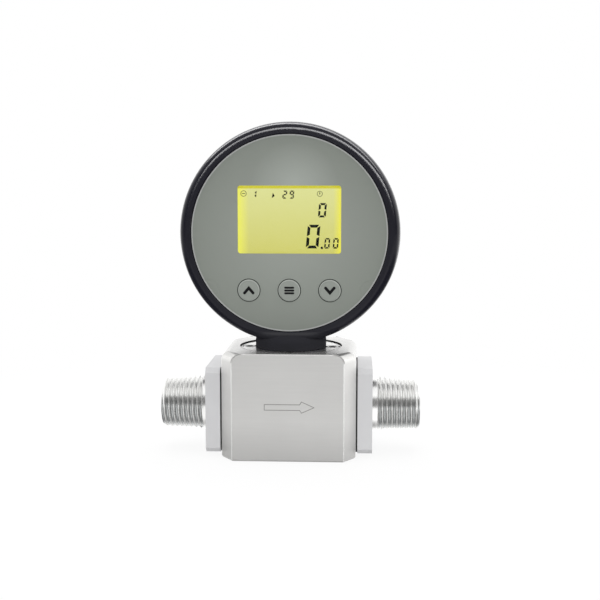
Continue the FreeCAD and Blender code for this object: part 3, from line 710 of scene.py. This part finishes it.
def stroke(points, width):
    """The outline of a round-ended stroke along a few points."""
    half = width / 2
    vectors = [Vector(p) for p in points]

    def side(sign):
        found = []
        for i, here in enumerate(vectors):
            into = (here - vectors[i - 1]).normalized() if i else None
            out = (vectors[i + 1] - here).normalized() if i + 1 < len(vectors) else None
            normals = [Vector((d.y, -d.x)) * sign for d in (into, out) if d is not None]
            middle = sum(normals, Vector((0.0, 0.0))).normalized()
            found.append(here + middle * half / middle.dot(normals[0]))
        return found

    def cap(centre, start):
        angles = [start + math.pi * i / CAP_STEPS for i in range(1, CAP_STEPS)]
        return [centre + Vector((math.cos(angle), math.sin(angle))) * half for angle in angles]

    ahead = vectors[-1] - vectors[-2]
    behind = vectors[0] - vectors[1]
    outline = side(1.0) + cap(vectors[-1], math.atan2(ahead.y, ahead.x) - math.pi / 2)
    outline += list(reversed(side(-1.0))) + cap(vectors[0], math.atan2(behind.y, behind.x) - math.pi / 2)
    return [tuple(p) for p in outline]


def thread_section():
    """One pitch of the thread, crest to crest: (place along it, depth) with rounded crest and root."""
    arc_wide = THREAD_ROUND * math.sin(THREAD_FLANK)
    arc_deep = THREAD_ROUND * (1 - math.cos(THREAD_FLANK))
    flank_deep = (THREAD_PITCH / 2 - 2 * arc_wide) * math.tan(THREAD_FLANK)
    depth = 2 * arc_deep + flank_deep
    turns = [THREAD_FLANK * i / ARC_STEPS for i in range(ARC_STEPS + 1)]
    crest = [(THREAD_ROUND * math.sin(t), THREAD_ROUND * (1 - math.cos(t))) for t in turns]
    root = [(THREAD_PITCH / 2 - x, depth - z) for x, z in reversed(crest)]
    half = crest + root
    return half + [(THREAD_PITCH - x, z) for x, z in reversed(half[:-1])]


def threaded_nipple(work, start, end, spigot_end, height, crest_phase):
    """A right-hand taper thread along +X, with its collar, end bevel, end face and bore."""
    thread_start = start + COLLAR_LENGTH

    def crest_at(turn):
        return thread_start + (turn + crest_phase) * THREAD_PITCH

    places, depths = zip(*thread_section())

    def depth_at(along):
        along %= THREAD_PITCH
        i = max(k for k, place in enumerate(places[:-1]) if place <= along)
        share = (along - places[i]) / (places[i + 1] - places[i])
        return depths[i] + share * (depths[i + 1] - depths[i])

    def radius_at(x, turn):
        major = COLLAR_RADIUS - (x - thread_start) * THREAD_TAPER
        fade = min(1.0, (x - thread_start) / THREAD_FADE)
        groove = fade * depth_at(x - crest_at(turn))
        end_major = COLLAR_RADIUS - (end - thread_start) * THREAD_TAPER - END_BEVEL
        return min(major - groove, end_major + (end - x))

    def point(x, radius, angle):
        return work.verts.new(Vector((x, radius * math.cos(angle), height + radius * math.sin(angle))) * MM)

    turns = int((end - thread_start) / THREAD_PITCH) + 3
    rows = []
    for step in range(-TURN_STEPS, turns * TURN_STEPS + 1):
        turn = step / TURN_STEPS
        angle = 2 * math.pi * turn
        row = []
        for place in places:
            x = min(end, max(thread_start, crest_at(turn) + place - THREAD_PITCH))
            row.append(point(x, radius_at(x, turn), angle))
        rows.append(row)
    for first, second in zip(rows, rows[1:]):
        for i in range(len(places) - 1):
            corners = (first[i], first[i + 1], second[i + 1], second[i])
            if max((c.co - corners[0].co).length for c in corners) > 1e-7:
                work.faces.new(corners)
    for step in range(TURN_STEPS):
        one, two = step / TURN_STEPS, (step + 1) / TURN_STEPS
        angles = (2 * math.pi * one, 2 * math.pi * two)
        collar = [(start - COLLAR_SINK, COLLAR_RADIUS), (thread_start, COLLAR_RADIUS)]
        bore = [(end, None), (end, BORE_RADIUS), (spigot_end, BORE_RADIUS)]
        for chain in (collar, bore):
            for (x1, r1), (x2, r2) in zip(chain, chain[1:]):
                pair = [(x1, r1, one, 0), (x1, r1, two, 1), (x2, r2, two, 1), (x2, r2, one, 0)]
                work.faces.new([point(x, radius_at(end, turn) if r is None else r, angles[k])
                                for x, r, turn, k in pair])


def dressed_adapter(node, finishes):
    """A pipe adapter: its flange and spigot from the solid, its nipple with a helical thread."""
    low, high = box_mm(node)
    outlet = node == "outlet_adapter"
    end = high.x if outlet else -low.x
    spigot_end = low.x if outlet else -high.x
    flange_face = end - NIPPLE_LENGTH
    height = (low.z + high.z) / 2
    thread = bmesh.new()
    threaded_nipple(thread, flange_face, end, spigot_end, height, CREST_PHASE[node])
    if not outlet:
        for vertex in thread.verts:
            vertex.co.x, vertex.co.y = -vertex.co.x, -vertex.co.y
    thread_mesh = mesh_from(thread, node + "_thread_mesh", smooth_angle=SMOOTH_ANGLE)
    flange = bmesh.new()
    flange.from_mesh(nodes[node].data)
    beyond = [v for v in flange.verts if abs(v.co.x) > (flange_face + 0.01) * MM]
    bmesh.ops.delete(flange, geom=beyond, context="VERTS")
    flange_mesh = mesh_from(flange, node + "_flange_mesh", smooth_angle=SMOOTH_ANGLE)
    piece = new_piece(node + "_dressed", flange_mesh, finishes["adapter_metal"])
    new_piece(node + "_thread", thread_mesh, finishes["thread_metal"])
    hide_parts(node)


def key_prints(finishes):
    """The line round each key, a painted highlight on its upper edge and the icon on it."""
    rings = bmesh.new()
    icons = bmesh.new()
    key_highlight_rings = bmesh.new()
    height = DIAL_HEIGHT - KEY_DROP
    near, far = KEY_TOP - FILM_PROUD, KEY_TOP + PRINT_DEPTH
    for step in (-1, 0, 1):
        x = step * KEY_SPACING
        add_ring(rings, circle(x, height, KEY_RADIUS + KEY_LINE), circle(x, height, KEY_RADIUS),
                 FACE_FRONT - FILM_PROUD, FACE_FRONT + PRINT_DEPTH)
        # Painted highlight: a pale crescent on the upper edge of each key
        add_ring(key_highlight_rings, circle(x, height, KEY_RADIUS - SHEEN_OUTSIDE),
                 circle(x - SHEEN_ASIDE, height - SHEEN_DOWN, KEY_RADIUS - SHEEN_INSIDE), near, far)
    new_piece("key_sheens", mesh_from(key_highlight_rings, "key_sheens_mesh"), finishes["key_edge_highlight"])
    for x, up in ((-KEY_SPACING, 1), (KEY_SPACING, -1)):
        foot = height - up * CHEVRON_DROP
        arrow = [(x - CHEVRON_HALF, foot), (x, height + up * CHEVRON_RISE), (x + CHEVRON_HALF, foot)]
        add_plate(icons, stroke(arrow, ICON_STROKE), near, far)
    for bar in (-1, 0, 1):
        z = height + bar * BAR_STEP
        add_plate(icons, stroke([(-BAR_HALF, z), (BAR_HALF, z)], BAR_STROKE), near, far)
    new_piece("key_rings", mesh_from(rings, "key_rings_mesh"), finishes["key_line"])
    new_piece("key_icons", mesh_from(icons, "key_icons_mesh"), finishes["key_icon"])


# Segments that each digit shows, and how far the digits lean
SEGMENTS = {"0": "abcdef", "1": "bc", "2": "abged", "9": "abcdfg"}
DIGIT_SLANT = 0.09


def digit_segments(symbol, x, z, width, height, weight):
    """Outlines of one seven-segment digit whose lower left corner is at (x, z)."""
    gap = 0.12 * weight
    w, h, t, m = width, height, weight, height / 2
    shapes = {
        "a": [(gap + t * 0.3, h), (w - gap - t * 0.3, h), (w - t - gap, h - t), (t + gap, h - t)],
        "d": [(gap + t * 0.3, 0), (t + gap, t), (w - t - gap, t), (w - gap - t * 0.3, 0)],
        "f": [(0, h - t * 0.3 - gap), (t, h - t - gap), (t, m + t * 0.5 + gap), (0, m + gap)],
        "b": [(w, h - t * 0.3 - gap), (w, m + gap), (w - t, m + t * 0.5 + gap), (w - t, h - t - gap)],
        "e": [(0, t * 0.3 + gap), (0, m - gap), (t, m - t * 0.5 - gap), (t, t + gap)],
        "c": [(w, t * 0.3 + gap), (w - t, t + gap), (w - t, m - t * 0.5 - gap), (w, m - gap)],
        "g": [(t * 0.6, m), (t, m + t * 0.45), (w - t, m + t * 0.45), (w - t * 0.6, m), (w - t, m - t * 0.45),
              (t, m - t * 0.45)],
    }
    return [[(x + px + DIGIT_SLANT * pz, z + pz) for px, pz in shapes[key]] for key in SEGMENTS[symbol]]


# Display digits: symbol, left and lower edge from the view's centre, width, height, stroke
DIGITS = [
    ("1", -13.8, 8.0, 1.35, 2.8, 0.56),
    ("2", -2.72, 7.7, 1.65, 3.0, 0.50),
    ("9", -0.12, 7.7, 1.65, 3.0, 0.50),
    ("0", 10.5, 0.8, 2.9, 5.3, 0.76),
    ("0", 6.0, -10.7, 4.7, 8.8, 1.08),
    ("0", 12.8, -10.75, 2.0, 3.9, 0.58),
    ("0", 16.0, -10.75, 2.0, 3.9, 0.58),
]

# Decimal point and small signs, placed from the view's centre: rings with their radius, and strokes
POINT_PLACE = (12.0, -10.5)
POINT_RADIUS = 0.48
SIGN_RINGS = ((-17.1, 9.6, 1.12), (11.2, 9.5, 1.05))
RING_LINE = 0.2
HAND = [(11.2, 9.4), (11.2, 9.9)]
HAND_LINE = 0.35
BAR = [(-17.6, 9.6), (-16.6, 9.6)]
BAR_LINE = 0.26
WEDGE = [(-6.6, 7.9), (-5.5, 8.7), (-6.2, 9.9)]


def on_view(points):
    """Points from the view's centre, at their place on the part."""
    return [(x, VIEW_HEIGHT + z) for x, z in points]


def display_digits(finishes):
    """The numbers and small signs on the display field."""
    dark = bmesh.new()
    faint = bmesh.new()
    near, far = PANEL_FRONT - DISPLAY_PROUD, PANEL_FRONT + PRINT_DEPTH
    for symbol, x, z, width, height, weight in DIGITS:
        for outline in digit_segments(symbol, x, VIEW_HEIGHT + z, width, height, weight):
            add_plate(dark, outline, near, far)
    add_plate(dark, circle(POINT_PLACE[0], VIEW_HEIGHT + POINT_PLACE[1], POINT_RADIUS, 24), near, far)
    for x, z, radius in SIGN_RINGS:
        height = VIEW_HEIGHT + z
        add_ring(faint, circle(x, height, radius, 32), circle(x, height, radius - RING_LINE, 32), near, far)
    add_plate(dark, stroke(on_view(HAND), HAND_LINE), near, far)
    add_plate(faint, stroke(on_view(BAR), BAR_LINE), near, far)
    add_plate(dark, on_view(WEDGE), near, far)
    new_piece("display_digits", mesh_from(dark, "display_digits_mesh"), finishes["digit_dark"])
    new_piece("display_signs", mesh_from(faint, "display_signs_mesh"), finishes["digit_faint"])


def flow_arrow(finishes):
    """The outlined arrow on the front of the body."""
    work = bmesh.new()
    outer, inner = (offset_outline(ARROW_OUTLINE, side * ARROW_LINE / 2) for side in (1, -1))
    add_ring(work, outer, inner, BODY_FRONT - METAL_PROUD, BODY_FRONT + PRINT_DEPTH)
    new_piece("flow_arrow", mesh_from(work, "flow_arrow_mesh"), finishes["arrow_groove"])


def shoulder_lines(finishes):
    """A fine painted shade line round each upper corner of the front and back faces."""
    work = bmesh.new()
    for side in (-1, 1):
        for front in (-1, 1):
            points = []
            for i in range(CORNER_STEPS + 1):
                angle = math.pi / 2 * i / CORNER_STEPS
                x = BODY_HIGH.x - BEVEL_WIDE - SHOULDER_WIDE * (1 - math.cos(angle))
                points.append((side * x, BODY_HIGH.z - SHOULDER_TALL * (1 - math.sin(angle))))
            face = front * BODY_HIGH.y
            add_plate(work, stroke(points, CORNER_SHADE_LINE), face + front * METAL_PROUD,
                      face - front * PRINT_DEPTH)
    new_piece("shoulder_lines", mesh_from(work, "shoulder_lines_mesh"), finishes["edge_shade_line"])


# Studio as the metal mirrors it: fields told by the parts of a direction from the object, each with
# its edges, how softly they end, and its level
DARK_AZIMUTH = math.radians(10.0)
DARK_EDGE = 0.30
DARK_SOFT = 0.18
DARK_TOP = math.sin(math.radians(35.0))
DARK_BASE = math.sin(math.radians(-5.0))
DARK_END_SOFT = 0.02
DARK_LEVEL = 0.24
LEFT_LEVEL = 1.15
RIGHT_LEVEL = 1.80
UNDER_EDGE = -0.93
UNDER_SOFT = 0.06
UNDER_LEVEL = 0.45
LOW_SIDE_EDGE = 0.42
LOW_SIDE_SOFT = 0.1
LOW_SIDE_TOP = -0.24
LOW_SIDE_TOP_SOFT = 0.05
LOW_SIDE_LEVEL = 0.25
BACK_EDGE = 0.35
BACK_TOP = 0.6
BACK_SOFT = 0.2
BACK_BASE = -0.08
BACK_BASE_SOFT = 0.05
BACK_LEVEL = 1.3
HIGH_SKY = math.sin(math.radians(50.0))
HIGH_SOFT = 0.15
HIGH_LEVEL = 1.2
DIFFUSE_LEVEL = 0.9

# Floor: share that is white to the camera beside the object, where that ends, its half width and
# how far it lies under the object, in metres
FLOOR_SHARE = 0.90
FLOOR_MIDDLE = 0.14
FLOOR_REACH = 0.08
FLOOR_HALF = 3.0
FLOOR_DROP = 0.0001

# Lamps, in metres and watts: what they aim at, their places, sizes and power
AIM = Vector((0.0, 0.0, 0.08))
BOX_PLACE = Vector((0.0, 0.25, 1.3))
BOX_SIZE = (1.0, 1.0)
BOX_POWER = 8.0
STRIP_AZIMUTH = 10.5
STRIP_ELEVATION = 24.5
STRIP_DISTANCE = 1.0
STRIP_SIZE = (1.75, 0.30)
STRIP_POWER = 50.0
OVER_PLACE = Vector((0.10, 0.42, 1.0))
OVER_SIZE = (2.6, 0.4)
OVER_POWER = 36.0


def toned(world, factor, colour, level):
    """A colour that turns into an even grey where the factor is high."""
    return over_colour(world, factor, colour, (level, level, level))


def studio_world():
    """A studio that metal mirrors: bright sides, dim in front; even to matt surfaces, white to the camera."""
    world = bpy.data.worlds.new("studio")
    bpy.context.scene.world = world
    world.use_nodes = True
    background = world.node_tree.nodes["Background"]
    coordinates = add_node(world, "ShaderNodeTexCoord")
    axes = add_node(world, "ShaderNodeSeparateXYZ")
    link(world, coordinates.outputs["Generated"], axes.inputs["Vector"])
    facing = add_node(world, "ShaderNodeVectorMath", operation="DOT_PRODUCT")
    facing.inputs[1].default_value = (math.sin(DARK_AZIMUTH), -math.cos(DARK_AZIMUTH), 0.0)
    link(world, coordinates.outputs["Generated"], facing.inputs[0])
    in_front = spread(world, facing.outputs["Value"], 0.0, 1.0, centre=DARK_EDGE, width=DARK_SOFT)
    below_top = spread(world, axes.outputs["Z"], 1.0, 0.0, centre=DARK_TOP, width=DARK_END_SOFT)
    above_table = spread(world, axes.outputs["Z"], 0.0, 1.0, centre=DARK_BASE, width=DARK_END_SOFT)
    dim = product(world, product(world, in_front, below_top), above_table)
    sideways = spread(world, axes.outputs["X"], 0.0, 1.0, centre=0.0, width=1.0)
    bright = blend_colours(world, sideways, (LEFT_LEVEL,) * 3, (RIGHT_LEVEL,) * 3)
    high = spread(world, axes.outputs["Z"], 0.0, 1.0, centre=HIGH_SKY, width=HIGH_SOFT)
    skied = toned(world, high, bright, HIGH_LEVEL)
    behind = spread(world, axes.outputs["Y"], 0.0, 1.0, centre=BACK_EDGE, width=BACK_SOFT)
    below_sky = spread(world, axes.outputs["Z"], 1.0, 0.0, centre=BACK_TOP, width=BACK_SOFT)
    above_base = spread(world, axes.outputs["Z"], 0.0, 1.0, centre=BACK_BASE, width=BACK_BASE_SOFT)
    backed = toned(world, product(world, product(world, behind, below_sky), above_base), skied, BACK_LEVEL)
    shade = toned(world, dim, backed, DARK_LEVEL)
    aside = add_node(world, "ShaderNodeMath", operation="ABSOLUTE")
    link(world, axes.outputs["X"], aside.inputs[0])
    far_side = spread(world, aside.outputs["Value"], 0.0, 1.0, centre=LOW_SIDE_EDGE, width=LOW_SIDE_SOFT)
    low_down = spread(world, axes.outputs["Z"], 1.0, 0.0, centre=LOW_SIDE_TOP, width=LOW_SIDE_TOP_SOFT)
    sided = toned(world, product(world, far_side, low_down), shade, LOW_SIDE_LEVEL)
    underneath = spread(world, axes.outputs["Z"], 1.0, 0.0, centre=UNDER_EDGE, width=UNDER_SOFT)
    shaded = toned(world, underneath, sided, UNDER_LEVEL)
    path = add_node(world, "ShaderNodeLightPath")
    seen = add_node(world, "ShaderNodeMath", operation="MAXIMUM")
    link(world, path.outputs["Is Camera Ray"], seen.inputs[0])
    link(world, path.outputs["Is Transmission Ray"], seen.inputs[1])
    shown = toned(world, seen.outputs["Value"], shaded, 1.0)
    lit = toned(world, path.outputs["Is Diffuse Ray"], shown, DIFFUSE_LEVEL)
    link(world, lit, background.inputs["Color"])


def add_stage(name, low, high, height):
    """A flat rectangle of the studio, not part of the object."""
    mesh = bpy.data.meshes.new(name)
    corners = [(low[0], low[1], height), (high[0], low[1], height), (high[0], high[1], height),
               (low[0], high[1], height)]
    mesh.from_pydata(corners, [], [(0, 1, 2, 3)])
    piece = bpy.data.objects.new(name, mesh)
    bpy.context.scene.collection.objects.link(piece)
    return piece


def studio_floor():
    """A pale floor that keeps the object's shadow near it and is white further away."""
    floor = add_stage("floor", (-FLOOR_HALF, -FLOOR_HALF), (FLOOR_HALF, FLOOR_HALF), -FLOOR_DROP)
    material, shader = new_material("floor_pale", (0.92, 0.92, 0.92), 0.0, 0.9)
    output = material.node_tree.nodes["Material Output"]
    glow = add_node(material, "ShaderNodeEmission")
    coordinates = add_node(material, "ShaderNodeTexCoord")
    away = add_node(material, "ShaderNodeVectorMath", operation="LENGTH")
    link(material, coordinates.outputs["Object"], away.inputs[0])
    share = spread(material, away.outputs["Value"], FLOOR_SHARE, 1.0, centre=FLOOR_MIDDLE, width=FLOOR_REACH)
    path = add_node(material, "ShaderNodeLightPath")
    shown = product(material, share, path.outputs["Is Camera Ray"])
    mix = add_node(material, "ShaderNodeMixShader")
    link(material, shown, mix.inputs["Fac"])
    link(material, shader.outputs["BSDF"], mix.inputs[1])
    link(material, glow.outputs["Emission"], mix.inputs[2])
    link(material, mix.outputs["Shader"], output.inputs["Surface"])
    floor.data.materials.append(material)
    floor.visible_glossy = False


def add_lamp(name, place, size, power):
    """A soft rectangular lamp aimed at the object."""
    data = bpy.data.lights.new(name, "AREA")
    data.shape = "RECTANGLE"
    data.size, data.size_y = size
    data.energy = power
    lamp = bpy.data.objects.new(name, data)
    lamp.location = place
    lamp.rotation_euler = (AIM - place).to_track_quat("-Z", "Y").to_euler()
    bpy.context.scene.collection.objects.link(lamp)
    lamp.visible_camera = False
    return lamp


def from_front(azimuth, elevation, distance):
    """A place seen from the object at an azimuth from -Y towards +X and an elevation, in degrees."""
    a, e = math.radians(azimuth), math.radians(elevation)
    return Vector((math.sin(a) * math.cos(e), -math.cos(a) * math.cos(e), math.sin(e))) * distance + AIM


def studio_lamps():
    """A broad box above, and two strips that only the black housing mirrors."""
    top_box = add_lamp("top_box", BOX_PLACE, BOX_SIZE, BOX_POWER)
    top_box.visible_glossy = False
    receivers = bpy.data.collections.new("strip_receivers")
    receivers.objects.link(nodes["head_housing"])
    strip_place = from_front(STRIP_AZIMUTH, STRIP_ELEVATION, STRIP_DISTANCE)
    strip = add_lamp("strip", strip_place, STRIP_SIZE, STRIP_POWER)
    over = add_lamp("over_strip", OVER_PLACE, OVER_SIZE, OVER_POWER)
    for lamp in (strip, over):
        lamp.light_linking.receiver_collection = receivers
        lamp.visible_diffuse = False


def photo_camera():
    """The camera at the photograph's place and angle."""
    data = bpy.data.cameras.new("camera")
    data.lens = CAMERA_LENS
    camera = bpy.data.objects.new("camera", data)
    place = Vector(CAMERA_PLACE) * MM
    camera.location = place
    camera.rotation_euler = (Vector(CAMERA_TARGET) * MM - place).to_track_quat("-Z", "Y").to_euler()
    bpy.context.scene.collection.objects.link(camera)
    bpy.context.scene.camera = camera


def main():
    """Dress the part and set up its studio."""
    finishes = make_materials()
    dress_nodes(finishes)
    for node in ("outlet_adapter", "inlet_adapter"):
        dressed_adapter(node, finishes)
    key_prints(finishes)
    display_digits(finishes)
    flow_arrow(finishes)
    shoulder_lines(finishes)
    studio_world()
    studio_floor()
    studio_lamps()
    photo_camera()
    bpy.context.scene.view_settings.view_transform = "Standard"


main()
